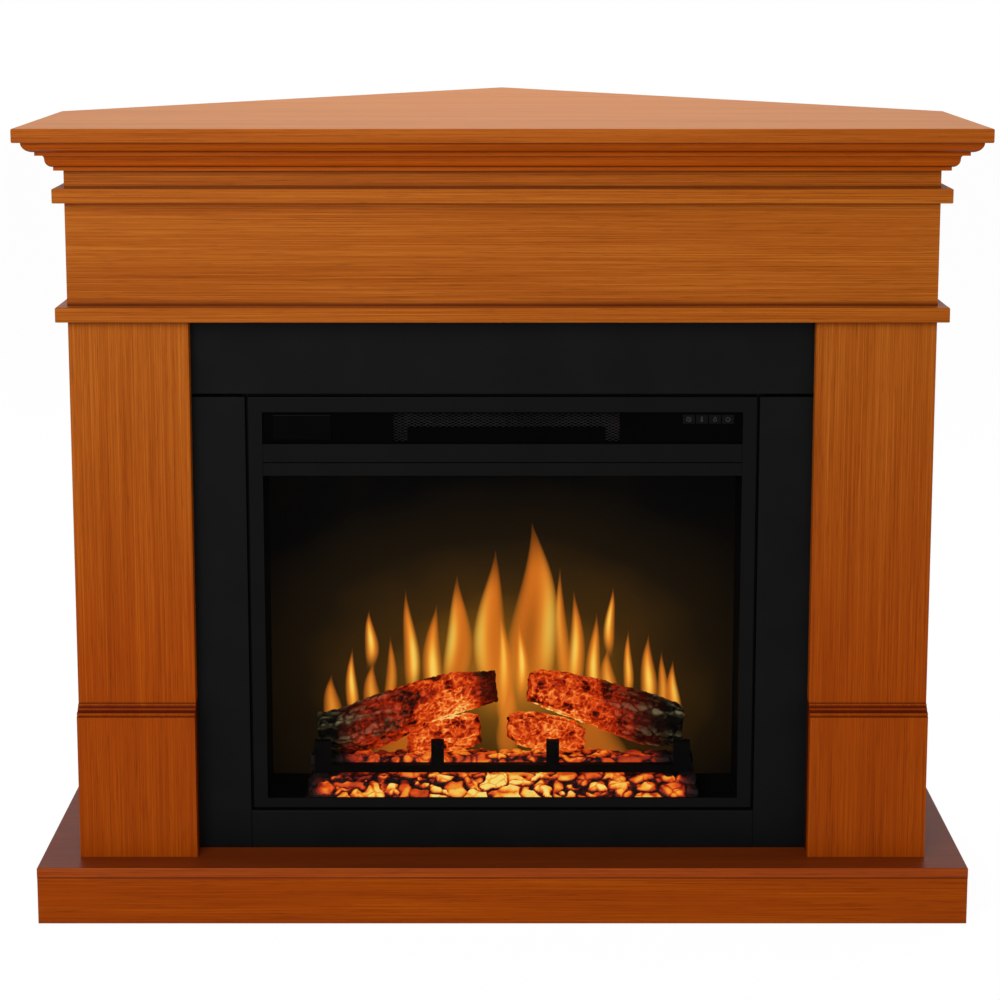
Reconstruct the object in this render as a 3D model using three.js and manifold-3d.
// Corner fireplace: a veneered corner mantel round a built-in electric fire.
//
// Millimetres, +Z up. The front looks towards -Y and +X is to its right. The origin is on the
// floor, under the middle of the box that holds the whole object.
//
// "Depth" is always measured back from the front edge of the shelf.

import * as THREE from 'three';
import { mergeVertices } from 'three/addons/utils/BufferGeometryUtils.js';
import Module from 'manifold-3d';

// ---------------------------------------------------------------- clearances

const fit = 0.3; // between pieces that only lie against each other
const runningFit = 0.08; // radial, shaft in bearing
const keyFit = 0.15; // round each key in its hole
const switchClearance = 0.1; // key stem to switch, at the end of the key's travel
const overrun = 1; // how far a cutting or joining shape runs past the face it works on

// ---------------------------------------------------------------- mantel

const shelfSideDepth = 305; // straight side, before the back turns 45 degrees to the corner
const shelfThickness = 16;
const shelfEase = 1.5; // rounding of the shelf's edges
const shelfOverhang = 48.5; // past the case, at the front and the sides
const boardThickness = 16; // boards of the case and the plinth
const boardEase = 1; // rounding of the other boards' edges
const backPanelThickness = 12;
const leadGapWidth = 100; // open strip at the corner, where the lead comes out

const plinthHeight = 68;
const plinthTopThickness = 12;
const plinthOverhang = 45; // past the case, at the sides

const pilasterWidth = 137.5;
const lowerLedgeThickness = 17;
const friezeHeight = 119;
const upperLedgeThickness = 16.5;
const ledgeProjection = 12;
const neckHeight = 20.5;

// Crown, from the shelf down: ovolo, fillet, soffit, cove, ovolo, fillet, soffit.
const crownSetback = 8.4; // shelf edge to crown
const upperOvoloWidth = 13;
const upperOvoloHeight = 11.8;
const upperFilletHeight = 4;
const upperSoffitWidth = 5.6;
const coveWidth = 3.6;
const coveHeight = 4.7;
const lowerOvoloWidth = 8.2;
const lowerOvoloHeight = 9.3;
const lowerFilletHeight = 4.2;
const arcSteps = 8;

// Base block, and the bead moulding worked on its top.
const blockHeight = 171;
const blockProjection = 13.5;
const quirkDepth = 2;
const quirkHeight = 1.2;
const beadDepth = 2;
const beadHeight = 3.2;
const lowerCoveDepth = 3.5;
const lowerCoveHeight = 2.6;
const middleFilletHeight = 0.8;
const upperCoveDepth = 3.5;
const upperCoveHeight = 2.7;
const topFilletHeight = 1.5;
const mouldingSteps = 4;

// ---------------------------------------------------------------- surround

const surroundThickness = 12;
const surroundLap = 25; // behind the pilasters and the frieze board
const headerHeight = 87.5; // the part that shows
const jambWidth = 61.5; // the part that shows
const sillHeight = 45.8;
const headerGap = 3.8; // shadow line under the header
const insertGap = 3; // shadow line round the sides of the insert
const sillGap = 3.5; // shadow line under the insert
const surroundEase = 1; // rounding of the surround's edges

// ---------------------------------------------------------------- insert, front

const insertWidth = 589;
const insertHeight = 495.4;
const frameDepth = 12;
const frameEase = 1; // rounding of the frame's edges
const stileWidth = 16.5;
const topRailHeight = 17.6;
const bottomRailHeight = 12.3;
const frameLip = 3; // front skin of the frame, before its rebate
const rebateWidth = 5.7;
const flangeThickness = 2; // rear flange, which closes the shadow lines from behind
const flangeReach = 8.5; // flange past the frame, all round

const controlBarHeight = 37.6;
const fasciaRecess = 5;
const fasciaThickness = 2.5;
const headRailHeight = 21.4;
const headGap = 1.2; // groove between head rail and head strip
const headGrooveDepth = 4;
const headStripHeight = 15;
const headRecess = 0.6;
const headDepth = 6.5;
const glassThickness = 4;

const outletWidth = 263.3;
const outletHeight = 34;
const outletSill = 2; // fascia left below the outlet
const outletOffset = 4.4; // outlet's middle, right of the insert's middle
const deflectorWidth = 229.2; // tab of the fascia in front of the outlet's lower half
const deflectorHeight = 17;

const grilleMargin = 4; // grille past the outlet, all round
const grilleThickness = 1.2;
const meshPitchX = 16.2;
const meshPitchZ = 9.4;
const meshStrand = 2;

const lensWidth = 68;
const lensHeight = 30.3;
const lensInset = 11.6; // from the insert's side
const lensThickness = 1.6;
const lensBevel = 1.2;

const keyCount = 4;
const keyWidth = 13.8;
const keyHeight = 10.6;
const keyPitch = 15.1;
const keyInset = 16.8; // last key's middle from the insert's side
const keyDrop = 9.2; // keys' middle below the top of the control bar
const keyProud = 0.4;
const keyFlange = 1.2;
const keyFlangeThickness = 1;
const keyStemWidth = 4;
const keyStemLength = 1;
const keyTravel = 1;

const circuitThickness = 1.6;
const circuitHeight = 30;
const circuitRise = 10.6; // board past the keys' middles, upwards
const circuitMargin = 14; // board past the outer keys' middles
const switchSize = 6;
const switchDepth = 2.1;
const postRadius = 2;

// ---------------------------------------------------------------- insert, casing

const bearerDepth = 40;
const bearerInset = 14; // from the casing's front and back edges
const casingWall = 2;
const casingInset = 4.5; // inside the insert's front, at the sides
const casingTopGap = 4.7; // below the top of the insert's front
const casingDrop = 19.3; // below the underside of the insert's front

const glandRadius = 9; // of its hexagon
const glandNeckRadius = 7.2;
const glandBore = 3.5;
const glandLength = 14;
const glandFloor = 1; // closed end of the gland's bore
const glandInset = 55; // from the casing's right side
const glandRise = 40; // above the casing floor

const trayThickness = 2;
const cheekThickness = 3;
const cheekHeight = 70;
const cheekGap = 2; // below the casing's top
const cheekDepth = 76;

const blowerLength = 228;
const blowerRadius = 24;
const blowerBlades = 16;
const blowerShaft = 2.5;
const blowerGap = 4; // element's end boards to blower wheel
const blowerRise = 41; // axis above the tray
const blowerDisc = 2;
const bladeWidth = 9;
const bladeInset = 1; // blades inside the rim of their discs
const bladeSlant = 30; // degrees
const bladeThickness = 1.2;
const motorRadius = 19;
const motorLength = 36;
const shaftReach = 12; // shaft inside its motor

const elementInset = 1.5; // casing's front edge to the element's end boards
const elementWidth = 6;
const elementHeight = 34;
const elementBends = 14;
const ribbonHeight = 3.6;
const elementBoard = 1.5;
const elementMargin = 2; // end boards past the ribbon

// ---------------------------------------------------------------- flame effect

const screenGap = 18; // back of the fuel bed to flame screen
const screenThickness = 3;
const rodRise = 50; // above the casing floor
const rodRadius = 3;
const foilCount = 18;
const foilWidth = 13;
const foilReach = 10.5;
const foilThickness = 0.8;
const foilTurn = 63; // degrees from one foil to the next
const rodMotorWidth = 26;
const rodMotorSize = 30;
const rodMotorGap = 2; // flame screen to motor
const rodMotorRoom = 3; // motor to the casing's back
const bushRadius = 7;
const bushLength = 8;
const bushFloor = 1; // closed end of the bush's bore
const ledStripLength = 480;
const ledStripWidth = 14;
const ledStripThickness = 1.6;
const ledCount = 12;
const ledSize = 5;
const ledHeight = 1.6;

// ---------------------------------------------------------------- fuel bed

const bedMargin = 42; // window's side to the bed
const bedInset = 5.5; // casing's front edge to the bed
// The bed's section: distance behind its front edge, and height above the casing floor.
const bedSection = [
  [0, 15],
  [8, 19.5],
  [18, 23.5],
  [28, 27],
  [38, 30.5],
  [47, 34],
  [51.5, 34.7],
  [66, 34.7],
  [70, 42],
  [75, 49],
  [81, 49.5],
  [88, 45],
  [96, 41.5],
  [112, 40],
  [130, 38.5],
];
const coalPitch = 21; // one coal and the crack beside it
const coalRelief = 4.4;
const coalSink = 0.6; // share of the relief that lies under the bed's mean surface
const crackStray = 1.3; // how far the cracks wander, in radians
const crackWave = 9; // depth over which they wander
const crackStart = 28 / 3; // where in that wave the front edge lies, in radians
const coalStep = 7; // between the bed's sections
const grateStrip = [50, 67]; // where the bed is flat, under the grate

const grateInset = 53.5; // behind the bed's front edge
const grateThickness = 10;
const grateBarHeight = 9.5;
const gratePostHeight = 29.5; // above the bar
const grateMargin = 8; // bed's side to grate
const grateEndWidth = 20; // of the two end posts
const gratePostWidth = 15.5; // of the two middle posts
const gratePostsX = [-78.75, 61.25]; // middles of the middle posts

const logSides = 20;
const barkRelief = 0.07; // share of the radius
const barkRidges = [3, 7]; // two waves of ridges, counted round the log
const barkTwist = [5, 11]; // how far each wave turns along the log, in radians
const logScreenGap = 1.8; // large logs to flame screen
const smallLogStep = 23; // small logs' axis in front of the large logs'
const logClearance = 0.4; // between touching logs, and between log and coals

// Each log: its axis as [x, height above the casing floor, radius] stations.
const logs = {
  log_large_left: {
    large: true,
    phase: 0.4,
    stations: [
      [-232, 70.5, 22],
      [-188, 71.5, 29.5],
      [-146, 83.5, 32],
      [-85, 107.5, 28.5],
      [-44, 118.5, 25.5],
      [-5, 125.5, 21],
    ],
  },
  log_large_right: {
    large: true,
    phase: 2.1,
    stations: [
      [29, 127.5, 18],
      [58.5, 120.5, 25],
      [121, 101.5, 30],
      [182, 82.5, 32],
      [225, 76.5, 26],
    ],
  },
  log_small_left: {
    large: false,
    phase: 3.7,
    stations: [
      [-120, 61, 15],
      [-102, 64, 20],
      [-72, 72, 22.5],
      [-41, 77, 22],
      [-23.5, 80, 18],
    ],
  },
  log_small_right: {
    large: false,
    phase: 5.2,
    stations: [
      [3, 85, 15],
      [21.5, 80, 22],
      [53.5, 74, 24],
      [86, 69, 21],
      [105, 66, 14],
    ],
  },
};

// ---------------------------------------------------------------- places worked out

const openingWidth = insertWidth + 2 * (insertGap + jambWidth);
const openingHeight = sillHeight + sillGap + insertHeight + headerGap + headerHeight;
const shelfWidth = openingWidth + 2 * (pilasterWidth + shelfOverhang);
const shelfDepth = shelfSideDepth + shelfWidth / 2;
const front = -shelfDepth / 2;
const at = (depth) => front + depth;

const caseHalf = shelfWidth / 2 - shelfOverhang;
const caseFront = at(shelfOverhang);
const caseBack = caseFront + boardThickness;
const plinthHalf = caseHalf + plinthOverhang;
const openingHalf = openingWidth / 2;

const lowerLedgeZ = plinthHeight + openingHeight;
const friezeZ = lowerLedgeZ + lowerLedgeThickness;
const upperLedgeZ = friezeZ + friezeHeight;
const neckZ = upperLedgeZ + upperLedgeThickness;
const crownZ = neckZ + neckHeight;
const crownHeight =
  upperOvoloHeight + upperFilletHeight + coveHeight + lowerOvoloHeight + lowerFilletHeight;
const shelfZ = crownZ + crownHeight;

/** Where the room's two walls stand, behind a point x across. */
const wallY = (x) => at(shelfDepth) - Math.abs(x);
/** Front face of the back panels. */
const panelY = (x) => wallY(x) - backPanelThickness * Math.SQRT2;

const surroundFront = caseBack;
const surroundBack = surroundFront + surroundThickness;
const headerZ = lowerLedgeZ - headerHeight;
const jambTop = headerZ - headerGap;
const insertTop = jambTop;
const insertBottom = insertTop - insertHeight;
const sillTop = insertBottom - sillGap;
const insertHalf = insertWidth / 2;
const jambHalf = insertHalf + insertGap;

const insertFront = surroundFront;
const frameBack = insertFront + frameDepth;
const bayHalf = insertHalf - stileWidth; // between the stiles
const barTop = insertTop - topRailHeight;
const barBottom = barTop - controlBarHeight;
const headGrooveZ = barBottom - headRailHeight;
const windowTop = headGrooveZ - headGap - headStripHeight;
const windowBottom = insertBottom + bottomRailHeight;
const rebateHalf = bayHalf + rebateWidth;
const rebateFront = insertFront + frameLip;

const fasciaFront = insertFront + fasciaRecess;
const fasciaBack = fasciaFront + fasciaThickness;
const outletBottom = barBottom + outletSill;
const outletTop = outletBottom + outletHeight;
const outletLeft = outletOffset - outletWidth / 2;
const outletRight = outletOffset + outletWidth / 2;

const keyZ = barTop - keyDrop;
const keyX = (index) => bayHalf - keyInset - (keyCount - 1 - index) * keyPitch;
const keyFlangeBack = fasciaBack + fit + keyFlangeThickness;
const keyStemEnd = keyFlangeBack + keyStemLength;
const switchFront = keyStemEnd + keyTravel + switchClearance;
const circuitFront = switchFront + switchDepth;
const circuitTop = keyZ + circuitRise;
const circuitMiddle = circuitTop - circuitHeight / 2;
const circuitLeft = keyX(0) - circuitMargin;
const circuitRight = bayHalf - postRadius;

const casingFront = frameBack + flangeThickness;
const casingHalf = insertHalf - casingInset;
const casingBottom = insertBottom - casingDrop;
const casingTop = insertTop - casingTopGap;
const floorZ = casingBottom + casingWall;
const roofZ = casingTop - casingWall;
const innerHalf = casingHalf - casingWall;

const bedHalf = bayHalf - bedMargin;
const bedFront = casingFront + bedInset;
const bedBack = bedFront + bedSection[bedSection.length - 1][0];
const screenFront = bedBack + screenGap;
const screenBack = screenFront + screenThickness;
const rodY = screenBack + rodMotorGap + rodMotorSize / 2;
const wallBack = rodY + rodMotorSize / 2 + rodMotorRoom;
const casingBack = wallBack + casingWall;

const trayTop = roofZ - cheekGap - cheekHeight;
const trayZ = trayTop - trayThickness;
const elementFront = casingFront + elementInset + elementMargin;
const blowerY = elementFront + elementWidth + elementMargin + blowerGap + blowerRadius;
const blowerZ = trayTop + blowerRise;
const blowerLeft = outletOffset - blowerLength / 2;
const blowerRight = outletOffset + blowerLength / 2;
const cheekLeft = blowerLeft - fit - cheekThickness;
const cheekRight = blowerRight + fit;
const motorLeft = cheekRight + cheekThickness;
const rodZ = floorZ + rodRise;
const rodMotorLeft = innerHalf - fit - rodMotorWidth;

// ---------------------------------------------------------------- solids

const wasm = await Module();
wasm.setup();

/** A closed geometry as a solid that can be joined and cut. */
function toSolid(geometry) {
  const bare = geometry.clone();
  bare.deleteAttribute('normal');
  bare.deleteAttribute('uv');
  const merged = mergeVertices(bare, 1e-4);
  const mesh = new wasm.Mesh({
    numProp: 3,
    vertProperties: new Float32Array(merged.attributes.position.array),
    triVerts: new Uint32Array(merged.index.array),
  });
  return new wasm.Manifold(mesh);
}

/** A solid as a geometry again. */
function toGeometry(solid) {
  const mesh = solid.getMesh();
  const geometry = new THREE.BufferGeometry();
  geometry.setAttribute('position', new THREE.BufferAttribute(mesh.vertProperties, 3));
  geometry.setIndex(new THREE.BufferAttribute(mesh.triVerts, 1));
  geometry.computeVertexNormals();
  return geometry;
}

/** Joins geometries that touch or cross into one. */
function join(...geometries) {
  const solids = geometries.map(toSolid);
  return toGeometry(solids.reduce((sum, next) => sum.add(next)));
}

/** Cuts every tool out of a geometry. */
function cut(geometry, ...tools) {
  return toGeometry(tools.map(toSolid).reduce((rest, tool) => rest.subtract(tool), toSolid(geometry)));
}

/** What two geometries have in common. */
function common(first, second) {
  return toGeometry(toSolid(first).intersect(toSolid(second)));
}

/** A box between two corners. */
function box(x0, x1, y0, y1, z0, z1) {
  const geometry = new THREE.BoxGeometry(x1 - x0, y1 - y0, z1 - z0);
  geometry.translate((x0 + x1) / 2, (y0 + y1) / 2, (z0 + z1) / 2);
  return geometry;
}

/** An outline extruded by a length, with its two rims rounded by ease. */
function extruded(points, length, ease) {
  const outline = new THREE.Shape(points.map(([a, b]) => new THREE.Vector2(a, b)));
  const geometry = new THREE.ExtrudeGeometry(outline, {
    depth: length - 2 * ease,
    bevelEnabled: ease > 0,
    bevelThickness: ease,
    bevelSize: ease,
    bevelOffset: -ease,
    bevelSegments: 2,
  });
  geometry.translate(0, 0, ease);
  return geometry;
}

/** A plan outline of [x, y] points, standing from z0 to z1. */
function standing(points, z0, z1, ease = 0) {
  return extruded(points, z1 - z0, ease).translate(0, 0, z0);
}

/** A front outline of [x, z] points, from y0 back to y1. */
function facing(points, y0, y1, ease = 0) {
  return extruded(points, y1 - y0, ease).translate(0, 0, -y1).rotateX(Math.PI / 2);
}

/** A section of [y, z] points, run from x0 to x1. */
function running(points, x0, x1) {
  const turn = new THREE.Matrix4().makeBasis(
    new THREE.Vector3(0, 1, 0),
    new THREE.Vector3(0, 0, 1),
    new THREE.Vector3(1, 0, 0),
  );
  return extruded(points, x1 - x0, 0).translate(0, 0, x0).applyMatrix4(turn);
}

/** Corners of a rectangle, anticlockwise. */
function rectangle(a0, a1, b0, b1) {
  return [
    [a0, b0],
    [a1, b0],
    [a1, b1],
    [a0, b1],
  ];
}

/** A plan or front outline mirrored to the left side, for side = -1. */
function onSide(points, side) {
  const mirrored = points.map(([x, other]) => [side * x, other]);
  return side < 0 ? mirrored.reverse() : mirrored;
}

/** A round bar along X. */
function barX(radius, x0, x1, y, z, sides = 32) {
  const geometry = new THREE.CylinderGeometry(radius, radius, x1 - x0, sides);
  return geometry.rotateZ(Math.PI / 2).translate((x0 + x1) / 2, y, z);
}

/** A round bar along Y. */
function barY(radius, y0, y1, x, z, sides = 24) {
  const geometry = new THREE.CylinderGeometry(radius, radius, y1 - y0, sides);
  return geometry.translate(x, (y0 + y1) / 2, z);
}

/** A quarter ellipse from angle a0 to a1 (degrees) round a centre, as outline points. */
function arc(centreA, centreB, radiusA, radiusB, a0, a1, steps) {
  return Array.from({ length: steps + 1 }, (_, i) => {
    const angle = THREE.MathUtils.degToRad(a0 + ((a1 - a0) * i) / steps);
    return [centreA + radiusA * Math.cos(angle), centreB + radiusB * Math.sin(angle)];
  });
}

/** A closed skin through rings of equal count along a run, closed by fans to the two hubs. */
function loft(rings, hubs) {
  const count = rings[0].length;
  const positions = [...rings.flat(), ...hubs].flat();
  const faces = [];
  for (let r = 0; r + 1 < rings.length; r += 1) {
    for (let i = 0; i < count; i += 1) {
      const a = r * count + i;
      const b = r * count + ((i + 1) % count);
      faces.push(a, b, a + count, b, b + count, a + count);
    }
  }
  const firstHub = rings.length * count;
  const lastRing = firstHub - count;
  for (let i = 0; i < count; i += 1) {
    const next = (i + 1) % count;
    faces.push(firstHub, next, i, firstHub + 1, lastRing + i, lastRing + next);
  }
  const geometry = new THREE.BufferGeometry();
  geometry.setAttribute('position', new THREE.Float32BufferAttribute(positions, 3));
  geometry.setIndex(faces);
  geometry.computeVertexNormals();
  return geometry;
}

// ---------------------------------------------------------------- scene graph

const fireplace = new THREE.Group();

/** A group inside the fireplace, for one sub-assembly. */
function assembly() {
  const group = new THREE.Group();
  fireplace.add(group);
  return group;
}

/** Adds one named piece to a sub-assembly. */
function piece(group, name, geometry, finish) {
  const mesh = new THREE.Mesh(geometry, new THREE.MeshStandardMaterial(finish));
  mesh.name = name;
  group.add(mesh);
  return mesh;
}

const veneer = { color: 0xa7571f, roughness: 0.45 };
const darkVeneer = { color: 0x8f3f06, roughness: 0.45 };
const rawBoard = { color: 0xa88a66, roughness: 0.85 };
const softwood = { color: 0xd2b183, roughness: 0.8 };
const mattBlack = { color: 0x141414, roughness: 0.6 };
const blackSteel = { color: 0x151515, roughness: 0.5, metalness: 0.3 };
const pianoBlack = { color: 0x030303, roughness: 0.12 };
const smokedLens = { color: 0x0a0a0a, roughness: 0.15 };
const windowGlass = { color: 0x1a1a1a, roughness: 0.03, transparent: true, opacity: 0.3 };
const bareSteel = { color: 0x8b8d8f, roughness: 0.4, metalness: 0.9 };
const copperWinding = { color: 0x6d4a34, roughness: 0.5, metalness: 0.6 };
const circuitGreen = { color: 0x1d4a2b, roughness: 0.5 };
const nylon = { color: 0x222222, roughness: 0.55 };
const flameSheet = { color: 0x2a1a08, roughness: 0.35 };
const bark = { color: 0x5a3420, roughness: 0.9, emissive: 0x431000 };
const coal = { color: 0x7d1f08, roughness: 0.8, emissive: 0xa03008 };
const castIron = { color: 0x0b0b0b, roughness: 0.7, metalness: 0.5 };

// ---------------------------------------------------------------- mantel

const mantel = assembly();

const shelfPlan = [
  [-shelfWidth / 2, front],
  [shelfWidth / 2, front],
  [shelfWidth / 2, wallY(shelfWidth / 2)],
  [0, wallY(0)],
  [-shelfWidth / 2, wallY(shelfWidth / 2)],
];
piece(mantel, 'mantel_top', standing(shelfPlan, shelfZ, shelfZ + shelfThickness, shelfEase), veneer);

/** Crown section: [projection from the case, height], from its back edge round the front. */
function crownSection() {
  const top = shelfOverhang - crownSetback;
  const fillet = top - upperOvoloWidth;
  const cove = fillet - upperSoffitWidth;
  const neck = cove - coveWidth;
  const lowerFillet = neck - lowerOvoloWidth;
  const filletTop = shelfZ - upperOvoloHeight;
  const filletBottom = filletTop - upperFilletHeight;
  const coveBottom = filletBottom - coveHeight;
  return [
    [0, shelfZ],
    [0, crownZ],
    [lowerFillet, crownZ],
    ...arc(lowerFillet, coveBottom, lowerOvoloWidth, lowerOvoloHeight, -90, 0, arcSteps),
    ...arc(cove, coveBottom, coveWidth, coveHeight, 180, 90, arcSteps).slice(1),
    [fillet, filletBottom],
    ...arc(fillet, shelfZ, upperOvoloWidth, upperOvoloHeight, -90, 0, arcSteps),
  ];
}

/** Ledge section: a square strip with its two front corners rounded. */
function ledgeSection(z0, z1) {
  const inner = ledgeProjection - boardEase;
  return [
    [0, z1],
    [0, z0],
    ...arc(inner, z0 + boardEase, boardEase, boardEase, -90, 0, 2),
    ...arc(inner, z1 - boardEase, boardEase, boardEase, 0, 90, 2),
  ];
}

/** The front run of a moulding, mitred at both ends. */
function frontRun(section, reach) {
  const run = running(section.map(([p, z]) => [caseFront - p, z]), -shelfWidth / 2, shelfWidth / 2);
  const heights = section.map(([, z]) => z);
  const plan = [
    [-caseHalf - reach + fit, caseFront - reach],
    [caseHalf + reach - fit, caseFront - reach],
    [caseHalf - fit, caseFront],
    [-caseHalf + fit, caseFront],
  ];
  return common(run, standing(plan, Math.min(...heights) - overrun, Math.max(...heights) + overrun));
}

/** A side run of a moulding, mitred at the front and cut to the wall at the back. */
function sideRun(section, reach, side) {
  const outline = onSide(section.map(([p, z]) => [caseHalf + p, z]), side);
  const run = facing(outline, front, at(shelfDepth));
  const heights = section.map(([, z]) => z);
  const plan = onSide(
    [
      [caseHalf, caseFront],
      [caseHalf + reach, caseFront - reach],
      [caseHalf + reach, wallY(caseHalf + reach)],
      [caseHalf, wallY(caseHalf)],
    ],
    side,
  );
  return common(run, standing(plan, Math.min(...heights) - overrun, Math.max(...heights) + overrun));
}

/** A moulding round the front and both sides of the case, as three mitred runs. */
function moulding(name, section, reach) {
  piece(mantel, `${name}_front`, frontRun(section, reach), veneer);
  piece(mantel, `${name}_left`, sideRun(section, reach, -1), veneer);
  piece(mantel, `${name}_right`, sideRun(section, reach, 1), veneer);
}

moulding('crown', crownSection(), shelfOverhang);
moulding('upper_ledge', ledgeSection(upperLedgeZ, neckZ), ledgeProjection);
moulding('lower_ledge', ledgeSection(lowerLedgeZ, friezeZ), ledgeProjection);

const friezeOutline = rectangle(-caseHalf, caseHalf, lowerLedgeZ, shelfZ);
piece(mantel, 'frieze_board', facing(friezeOutline, caseFront, caseBack), veneer);

/** Block section: [projection from the pilaster, height], with the bead moulding at its top. */
function blockSection() {
  const blockTop = plinthHeight + blockHeight;
  const quirkTop = blockTop + quirkHeight;
  const beadTop = quirkTop + beadHeight;
  const lowerCoveTop = beadTop + lowerCoveHeight;
  const filletTop = lowerCoveTop + middleFilletHeight;
  const upperCoveTop = filletTop + upperCoveHeight;
  const quirk = blockProjection - quirkDepth;
  const bead = quirk - beadDepth / 2;
  const middle = quirk - beadDepth - lowerCoveDepth;
  const top = middle - upperCoveDepth;
  return [
    [0, upperCoveTop + topFilletHeight],
    [0, plinthHeight],
    [blockProjection, plinthHeight],
    [blockProjection, blockTop],
    [quirk, blockTop],
    [quirk, quirkTop],
    ...arc(bead, quirkTop + beadHeight / 2, beadDepth, beadHeight / 2, -60, 90, mouldingSteps),
    ...arc(quirk - beadDepth, lowerCoveTop, lowerCoveDepth, lowerCoveHeight, -90, -180, mouldingSteps),
    [middle, filletTop],
    ...arc(middle, upperCoveTop, upperCoveDepth, upperCoveHeight, -90, -180, mouldingSteps),
    [top, upperCoveTop + topFilletHeight],
  ];
}

for (const [side, suffix] of [
  [-1, 'left'],
  [1, 'right'],
]) {
  const across = side < 0 ? [-caseHalf, -openingHalf] : [openingHalf, caseHalf];
  const pilasterOutline = rectangle(...across, plinthHeight, lowerLedgeZ);
  const pilaster = facing(pilasterOutline, caseFront, caseBack, boardEase);
  piece(mantel, `pilaster_${suffix}`, pilaster, veneer);
  const block = blockSection().map(([p, z]) => [caseFront - p, z]);
  piece(mantel, `base_block_${suffix}`, running(block, ...across), darkVeneer);

  const inner = caseHalf - boardThickness;
  const sidePlan = [
    [inner, caseBack],
    [caseHalf, caseBack],
    [caseHalf, panelY(caseHalf) - fit],
    [inner, panelY(inner) - fit],
  ];
  piece(mantel, `side_panel_${suffix}`, standing(onSide(sidePlan, side), plinthHeight, shelfZ), veneer);

  const panelPlan = (x0, x1) => onSide(
    [
      [x0, panelY(x0)],
      [x1, panelY(x1)],
      [x1, wallY(x1)],
      [x0, wallY(x0)],
    ],
    side,
  );
  const panel = standing(panelPlan(leadGapWidth / 2, caseHalf), 0, shelfZ);
  const foot = standing(panelPlan(caseHalf, plinthHalf), 0, plinthHeight);
  piece(mantel, `back_panel_${suffix}`, join(panel, foot), rawBoard);
}

// ---------------------------------------------------------------- plinth

const plinth = assembly();
const plinthTopZ = plinthHeight - plinthTopThickness;
const plinthPlan = [
  [-plinthHalf, front],
  [plinthHalf, front],
  [plinthHalf, panelY(plinthHalf) - fit],
  [0, panelY(0) - fit],
  [-plinthHalf, panelY(plinthHalf) - fit],
];
piece(plinth, 'plinth_top', standing(plinthPlan, plinthTopZ, plinthHeight, boardEase), darkVeneer);

const plinthFrontOutline = rectangle(-plinthHalf, plinthHalf, 0, plinthTopZ);
const plinthFront = facing(plinthFrontOutline, front, front + boardThickness, boardEase);
piece(plinth, 'plinth_front', plinthFront, darkVeneer);

for (const [side, suffix] of [
  [-1, 'left'],
  [1, 'right'],
]) {
  const inner = plinthHalf - boardThickness;
  const plan = [
    [inner, front + boardThickness],
    [plinthHalf, front + boardThickness],
    [plinthHalf, panelY(plinthHalf) - fit],
    [inner, panelY(inner) - fit],
  ];
  piece(plinth, `plinth_side_${suffix}`, standing(onSide(plan, side), 0, plinthTopZ), darkVeneer);
}

// ---------------------------------------------------------------- surround

const surround = assembly();
const surroundHalf = openingHalf + surroundLap;

/** A flat surround panel. */
function surroundPanel(name, x0, x1, z0, z1) {
  const panel = facing(rectangle(x0, x1, z0, z1), surroundFront, surroundBack, surroundEase);
  piece(surround, name, panel, mattBlack);
}

surroundPanel('surround_header', -surroundHalf, surroundHalf, headerZ, lowerLedgeZ + surroundLap);
surroundPanel('surround_jamb_left', -surroundHalf, -jambHalf, plinthHeight, jambTop);
surroundPanel('surround_jamb_right', jambHalf, surroundHalf, plinthHeight, jambTop);
surroundPanel('surround_sill', -jambHalf, jambHalf, plinthHeight, sillTop);

// ---------------------------------------------------------------- insert, front

const insert = assembly();

const frameOutline = rectangle(-insertHalf, insertHalf, insertBottom, insertTop);
const frameSlab = facing(frameOutline, insertFront, frameBack, frameEase);
const flangeSlab = box(
  -insertHalf - flangeReach,
  insertHalf + flangeReach,
  frameBack,
  casingFront,
  insertBottom - flangeReach,
  insertTop + flangeReach,
);
const holeBack = casingFront + overrun;
const frameHole = box(-bayHalf, bayHalf, insertFront - overrun, holeBack, windowBottom, barTop);
const rebateBottom = windowBottom - rebateWidth;
const rebateTop = barTop + rebateWidth;
const rebate = box(-rebateHalf, rebateHalf, rebateFront, holeBack, rebateBottom, rebateTop);
piece(insert, 'insert_frame', cut(join(frameSlab, flangeSlab), frameHole, rebate), blackSteel);

const headTop = barBottom - fit;
const headFront = insertFront + headRecess;
const headSection = [
  [headFront, headTop],
  [headFront, headGrooveZ],
  [headFront + headGrooveDepth, headGrooveZ],
  [headFront + headGrooveDepth, headGrooveZ - headGap],
  [headFront, headGrooveZ - headGap],
  [headFront, windowTop],
  [headFront + headDepth, windowTop],
  [headFront + headDepth, headTop],
];
piece(insert, 'window_head', running(headSection, -bayHalf + fit, bayHalf - fit), blackSteel);

const glassFront = rebateFront + fit;
const glass = box(
  -rebateHalf + fit,
  rebateHalf - fit,
  glassFront,
  glassFront + glassThickness,
  rebateBottom + fit,
  windowTop - fit,
);
piece(insert, 'window_glass', glass, windowGlass);

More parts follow.
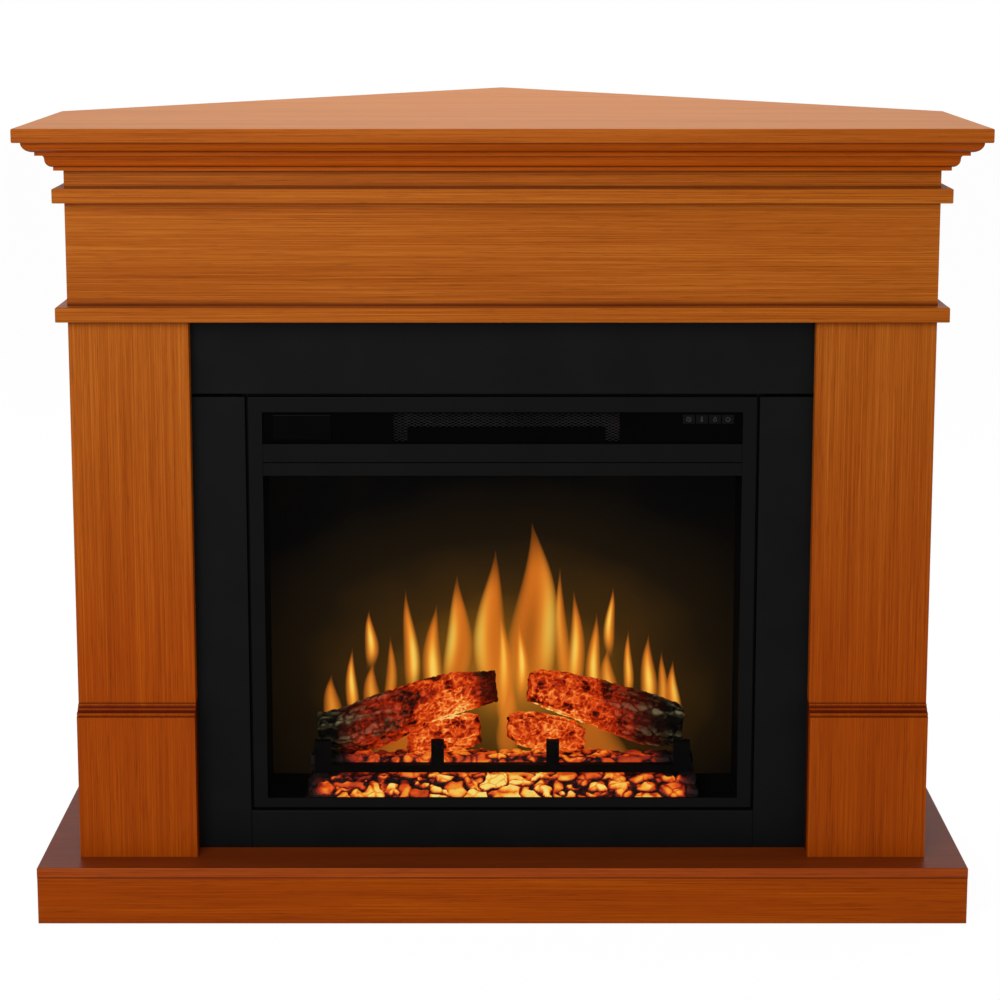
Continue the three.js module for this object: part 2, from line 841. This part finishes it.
const deflector = rectangle(
  outletOffset - deflectorWidth / 2,
  outletOffset + deflectorWidth / 2,
  barBottom,
  outletBottom + deflectorHeight,
);
const outletHole = cut(
  box(outletLeft, outletRight, fasciaFront - overrun, fasciaBack + overrun, outletBottom, outletTop),
  facing(deflector, fasciaFront - 2 * overrun, fasciaBack + 2 * overrun),
);
const keyHoles = Array.from({ length: keyCount }, (_, index) => box(
  keyX(index) - keyWidth / 2 - keyFit,
  keyX(index) + keyWidth / 2 + keyFit,
  fasciaFront - overrun,
  fasciaBack + overrun,
  keyZ - keyHeight / 2 - keyFit,
  keyZ + keyHeight / 2 + keyFit,
));
const fasciaPlate = box(-bayHalf + fit, bayHalf - fit, fasciaFront, fasciaBack, barBottom, barTop - fit);
const postX = [circuitLeft + 2 * postRadius, circuitRight - postRadius];
const posts = postX.map((x) =>
  barY(postRadius, fasciaBack - overrun, circuitFront, x, circuitMiddle, 12));
const fascia = join(cut(fasciaPlate, outletHole, ...keyHoles), ...posts);
piece(insert, 'control_fascia', fascia, pianoBlack);

const lensLeft = -bayHalf + lensInset;
const lensMiddle = (barTop + barBottom) / 2;
const lensOutline = rectangle(
  lensLeft,
  lensLeft + lensWidth,
  lensMiddle - lensHeight / 2,
  lensMiddle + lensHeight / 2,
);
const lensFront = fasciaFront - lensThickness;
const lensSlab = facing(lensOutline, lensFront, fasciaFront + lensBevel, lensBevel);
const lensSeat = box(-bayHalf, bayHalf, fasciaFront, fasciaBack, barBottom, barTop);
piece(insert, 'display_lens', cut(lensSlab, lensSeat), smokedLens);

/** A diamond hole of the outlet mesh. */
function meshHole(x, z, y0, y1) {
  const halfX = meshPitchX / 2 - meshStrand;
  const halfZ = meshPitchZ / 2 - meshStrand / 2;
  const outline = [
    [x - halfX, z],
    [x, z - halfZ],
    [x + halfX, z],
    [x, z + halfZ],
  ];
  return facing(outline, y0, y1);
}

/** Expanded-metal grille: a plate with staggered rows of diamonds. */
function outletGrille() {
  const y0 = fasciaBack + fit;
  const y1 = y0 + grilleThickness;
  const z0 = outletBottom - grilleMargin;
  const z1 = outletTop + grilleMargin;
  const plate = box(outletLeft - grilleMargin, outletRight + grilleMargin, y0, y1, z0, z1);
  const rows = Math.floor(outletHeight / (meshPitchZ / 2)) - 1;
  const holes = [];
  for (let row = 0; row < rows; row += 1) {
    const z = (outletBottom + outletTop) / 2 + (row - (rows - 1) / 2) * (meshPitchZ / 2);
    const shift = row % 2 ? meshPitchX / 2 : 0;
    for (let x = outletLeft + meshPitchX / 2 + shift; x < outletRight - meshPitchX / 3; x += meshPitchX) {
      holes.push(meshHole(x, z, y0 - overrun, y1 + overrun));
    }
  }
  return cut(plate, ...holes);
}
piece(insert, 'outlet_grille', outletGrille(), blackSteel);

/** A key: cap through the fascia, flange behind it and a stem towards its switch. */
function keyGeometry() {
  const wide = keyWidth / 2;
  const high = keyHeight / 2;
  const lip = high + keyFlange;
  const thin = keyStemWidth / 2;
  const cap = box(-wide, wide, fasciaFront - keyProud, keyFlangeBack, -high, high);
  const flange = box(-wide, wide, fasciaBack + fit, keyFlangeBack, -lip, lip);
  const stem = box(-thin, thin, keyFlangeBack, keyStemEnd, -thin, thin);
  return join(cap, flange, stem);
}
for (let index = 0; index < keyCount; index += 1) {
  const key = piece(insert, `key_${index + 1}`, keyGeometry(), pianoBlack);
  key.position.set(keyX(index), 0, keyZ);
}

const switches = Array.from({ length: keyCount }, (_, index) => box(
  keyX(index) - switchSize / 2,
  keyX(index) + switchSize / 2,
  switchFront,
  circuitFront + circuitThickness / 2,
  keyZ - switchSize / 2,
  keyZ + switchSize / 2,
));
const circuit = box(
  circuitLeft,
  circuitRight,
  circuitFront,
  circuitFront + circuitThickness,
  circuitTop - circuitHeight,
  circuitTop,
);
piece(insert, 'control_board', join(circuit, ...switches), circuitGreen);

// ---------------------------------------------------------------- insert, casing

const casing = assembly();

for (const [name, y0] of [
  ['bearer_front', casingFront + bearerInset],
  ['bearer_back', casingBack - bearerInset - bearerDepth],
]) {
  const bearer = box(-casingHalf, casingHalf, y0, y0 + bearerDepth, plinthHeight, casingBottom);
  piece(casing, name, bearer, softwood);
}

const floorPlate = box(-casingHalf, casingHalf, casingFront, casingBack, casingBottom, floorZ);
piece(casing, 'casing_floor', floorPlate, blackSteel);
const roofPlate = box(-casingHalf, casingHalf, casingFront, casingBack, roofZ, casingTop);
piece(casing, 'casing_top', roofPlate, blackSteel);
const backPlate = box(-casingHalf, casingHalf, wallBack, casingBack, floorZ, roofZ);
piece(casing, 'casing_back', backPlate, blackSteel);

const leftWall = box(-casingHalf, -innerHalf, casingFront, wallBack, floorZ, roofZ);
const bushEnd = -innerHalf + bushLength;
const bush = barX(bushRadius, -innerHalf, bushEnd, rodY, rodZ);
const bushBore = barX(rodRadius + runningFit, -innerHalf + bushFloor, bushEnd + overrun, rodY, rodZ);
piece(casing, 'casing_left', cut(join(leftWall, bush), bushBore), blackSteel);
const rightWall = box(innerHalf, casingHalf, casingFront, wallBack, floorZ, roofZ);
piece(casing, 'casing_right', rightWall, blackSteel);

const glandX = casingHalf - glandInset;
const glandZ = floorZ + glandRise;
const gland = cut(
  join(
    barY(glandRadius, casingBack, casingBack + glandLength / 2, glandX, glandZ, 6),
    barY(glandNeckRadius, casingBack, casingBack + glandLength, glandX, glandZ, 16),
  ),
  barY(glandBore, casingBack + glandFloor, casingBack + glandLength + overrun, glandX, glandZ, 16),
);
piece(casing, 'lead_gland', gland, nylon);

// ---------------------------------------------------------------- heater

const heater = assembly();
const bladeRing = blowerRadius - bladeWidth / 2 - bladeInset;

const tray = box(-innerHalf + fit, innerHalf - fit, casingFront + fit, wallBack - fit, trayZ, trayTop);
const cheeks = [cheekLeft, cheekRight].map((x) => box(
  x,
  x + cheekThickness,
  casingFront + fit,
  casingFront + fit + cheekDepth,
  trayTop - trayThickness / 2,
  trayTop + cheekHeight,
));
const throughCheek = (radius, x) =>
  barX(radius, x - overrun, x + cheekThickness + overrun, blowerY, blowerZ);
const leftBearing = throughCheek(blowerShaft + runningFit, cheekLeft);
const rightPass = throughCheek(2 * blowerShaft, cheekRight);
piece(heater, 'heater_housing', cut(join(tray, ...cheeks), leftBearing, rightPass), bareSteel);

/** Blower wheel: three discs, a ring of slanted blades and a shaft right through. */
function blowerWheel() {
  const discs = [blowerLeft, outletOffset - blowerDisc / 2, blowerRight - blowerDisc].map((x) =>
    barX(blowerRadius, x, x + blowerDisc, blowerY, blowerZ));
  const blades = Array.from({ length: blowerBlades }, (_, index) => {
    const thick = bladeThickness / 2;
    const wide = bladeWidth / 2;
    const blade = box(blowerLeft, blowerRight, -thick, thick, -wide, wide);
    blade.rotateX(THREE.MathUtils.degToRad(bladeSlant)).translate(0, 0, bladeRing);
    blade.rotateX((index / blowerBlades) * 2 * Math.PI);
    return blade.translate(0, blowerY, blowerZ);
  });
  const shaft = barX(blowerShaft, cheekLeft, motorLeft + shaftReach, blowerY, blowerZ);
  return join(shaft, ...discs, ...blades);
}
piece(heater, 'blower_rotor', blowerWheel(), bareSteel);

const motorBore = barX(
  blowerShaft + runningFit,
  motorLeft - overrun,
  motorLeft + shaftReach + overrun,
  blowerY,
  blowerZ,
);
const motorBody = barX(motorRadius, motorLeft, motorLeft + motorLength, blowerY, blowerZ);
piece(heater, 'blower_motor', cut(motorBody, motorBore), copperWinding);

/** Heating element: a folded ribbon between two insulating end boards. */
function heatingElement() {
  const x0 = cheekLeft + cheekThickness + fit;
  const x1 = cheekRight - fit;
  const z0 = blowerZ - elementHeight / 2;
  const step = (x1 - x0 - 2 * elementBoard) / (2 * elementBends);
  const ridge = (index) => [x0 + elementBoard + index * step, index % 2 ? z0 + elementHeight : z0];
  const lower = Array.from({ length: 2 * elementBends + 1 }, (_, index) => ridge(index));
  const upper = lower.map(([x, z]) => [x, z + ribbonHeight]).reverse();
  const y0 = elementFront;
  const ribbon = facing([...lower, ...upper], y0, y0 + elementWidth);
  const boards = [x0, x1 - elementBoard].map((x) => box(
    x,
    x + elementBoard,
    y0 - elementMargin,
    y0 + elementWidth + elementMargin,
    z0 - elementMargin,
    z0 + elementHeight + ribbonHeight + elementMargin,
  ));
  return join(ribbon, ...boards);
}
piece(heater, 'heating_element', heatingElement(), bareSteel);

// ---------------------------------------------------------------- flame effect

const flame = assembly();

const screen = box(
  -innerHalf + fit,
  innerHalf - fit,
  screenFront,
  screenBack,
  floorZ,
  trayZ - fit,
);
piece(flame, 'flame_screen', screen, flameSheet);

/** Flicker rod: a shaft with pairs of bright foil flags set round it. */
function flickerRod() {
  const shaftLeft = -innerHalf + bushFloor + fit;
  const shaft = barX(rodRadius, shaftLeft, rodMotorLeft + shaftReach, rodY, rodZ);
  const x0 = -innerHalf + bushLength + foilWidth;
  const pitch = (rodMotorLeft - foilWidth - x0) / (foilCount - 1);
  const foils = Array.from({ length: foilCount }, (_, index) => {
    const x = x0 + index * pitch;
    const thick = foilThickness / 2;
    const foil = box(x - foilWidth / 2, x + foilWidth / 2, -thick, thick, -foilReach, foilReach);
    return foil.rotateX(THREE.MathUtils.degToRad(index * foilTurn)).translate(0, rodY, rodZ);
  });
  return join(shaft, ...foils);
}
piece(flame, 'flicker_rod', flickerRod(), bareSteel);

const rodMotor = cut(
  box(
    rodMotorLeft,
    innerHalf - fit,
    rodY - rodMotorSize / 2,
    wallBack - fit,
    rodZ - rodMotorSize / 2,
    rodZ + rodMotorSize / 2,
  ),
  barX(
    rodRadius + runningFit,
    rodMotorLeft - overrun,
    rodMotorLeft + shaftReach + overrun,
    rodY,
    rodZ,
  ),
);
piece(flame, 'flicker_motor', rodMotor, nylon);

const ledPlate = box(
  -ledStripLength / 2,
  ledStripLength / 2,
  rodY - ledStripWidth / 2,
  rodY + ledStripWidth / 2,
  floorZ,
  floorZ + ledStripThickness,
);
const leds = Array.from({ length: ledCount }, (_, index) => {
  const x = -ledStripLength / 2 + ((index + 0.5) * ledStripLength) / ledCount;
  const z0 = floorZ + ledStripThickness / 2;
  const half = ledSize / 2;
  return box(x - half, x + half, rodY - half, rodY + half, z0, z0 + ledHeight);
});
piece(flame, 'led_strip', join(ledPlate, ...leds), circuitGreen);

// ---------------------------------------------------------------- fuel bed

const fuel = assembly();

/** Height of the coals over the bed's mean surface. */
function coalHeight(x, back) {
  if (back >= grateStrip[0] && back <= grateStrip[1]) {
    return 0;
  }
  const turn = (x / coalPitch) * Math.PI + crackStray * Math.sin(back / crackWave + crackStart);
  return coalRelief * (Math.sqrt(Math.abs(Math.sin(turn))) - coalSink);
}

/** The ember bed, raised by lift where it is only used to cut the logs that rest on it. */
function emberBed(lift = 0) {
  const steps = Math.round((2 * bedHalf) / coalStep);
  const rings = Array.from({ length: steps + 1 }, (_, index) => {
    const x = -bedHalf + (index * 2 * bedHalf) / steps;
    const top = bedSection.map(([back, height]) => [
      x,
      bedFront + back,
      floorZ + height + coalHeight(x, back) + lift,
    ]);
    return [[x, bedFront, floorZ], [x, bedBack, floorZ], ...top.reverse()];
  });
  const middle = bedFront + (grateStrip[0] + grateStrip[1]) / 2;
  const hubs = [-bedHalf, bedHalf].map((x) => [x, middle, floorZ + 2]);
  return loft(rings, hubs);
}
piece(fuel, 'ember_bed', emberBed(), coal);

const flatStations = bedSection.filter(([back]) => back >= grateStrip[0] && back <= grateStrip[1]);
const bedFlat = Math.max(...flatStations.map(([, height]) => height));
const grateZ = floorZ + bedFlat + fit;
const grateTop = grateZ + grateBarHeight;
const grateY = bedFront + grateInset;
const grateHalf = bedHalf - grateMargin;
const grateBar = box(-grateHalf, grateHalf, grateY, grateY + grateThickness, grateZ, grateTop);
const gratePosts = [
  [-grateHalf, -grateHalf + grateEndWidth],
  ...gratePostsX.map((x) => [x - gratePostWidth / 2, x + gratePostWidth / 2]),
  [grateHalf - grateEndWidth, grateHalf],
];
const grateUprights = gratePosts.map(([x0, x1]) =>
  box(x0, x1, grateY, grateY + grateThickness, grateZ, grateTop + gratePostHeight));
piece(fuel, 'grate', join(grateBar, ...grateUprights), castIron);

const largeLogs = Object.values(logs).filter(({ large }) => large);
const largestRadius = Math.max(...largeLogs.flatMap(({ stations }) => stations.map(([, , r]) => r)));
const largeLogY = screenFront - logScreenGap - largestRadius * (1 + barkRelief);

/** A log through its stations, grown by swell where it is only used to cut its neighbour. */
function logGeometry({ large, phase, stations }, swell = 0) {
  const axisY = large ? largeLogY : largeLogY - smallLogStep;
  const curve = (points) => new THREE.CatmullRomCurve3(points.map((p) => new THREE.Vector3(...p)));
  const path = curve(stations.map(([x, height]) => [x, axisY, floorZ + height]));
  const radii = curve(stations.map(([x, , radius]) => [x, radius, 0]));
  const steps = 3 * (stations.length - 1);
  const rings = Array.from({ length: steps + 1 }, (_, index) => {
    const t = index / steps;
    const centre = path.getPoint(t);
    const along = path.getTangent(t);
    const up = new THREE.Vector3(-along.z, 0, along.x);
    return Array.from({ length: logSides }, (_unused, i) => {
      const angle = (i / logSides) * 2 * Math.PI;
      const broad = Math.sin(barkRidges[0] * angle + phase + barkTwist[0] * t);
      const narrow = Math.sin(barkRidges[1] * angle - phase + barkTwist[1] * t);
      const radius = radii.getPoint(t).y * (1 + (barkRelief / 2) * (broad + narrow)) + swell;
      const rise = radius * Math.sin(angle);
      return [
        centre.x + up.x * rise,
        centre.y + radius * Math.cos(angle),
        centre.z + up.z * rise,
      ];
    });
  });
  return loft(rings, [path.getPoint(0).toArray(), path.getPoint(1).toArray()]);
}

const bedCutter = emberBed(logClearance);
const grateCutter = box(
  -grateHalf - logClearance,
  grateHalf + logClearance,
  grateY - grateThickness,
  grateY + grateThickness + logClearance,
  grateZ,
  grateTop + gratePostHeight + logClearance,
);
const largeLogCutters = largeLogs.map((log) => logGeometry(log, logClearance));
for (const [name, log] of Object.entries(logs)) {
  const neighbours = log.large ? [] : largeLogCutters;
  piece(fuel, name, cut(logGeometry(log), bedCutter, grateCutter, ...neighbours), bark);
}

export default fireplace;
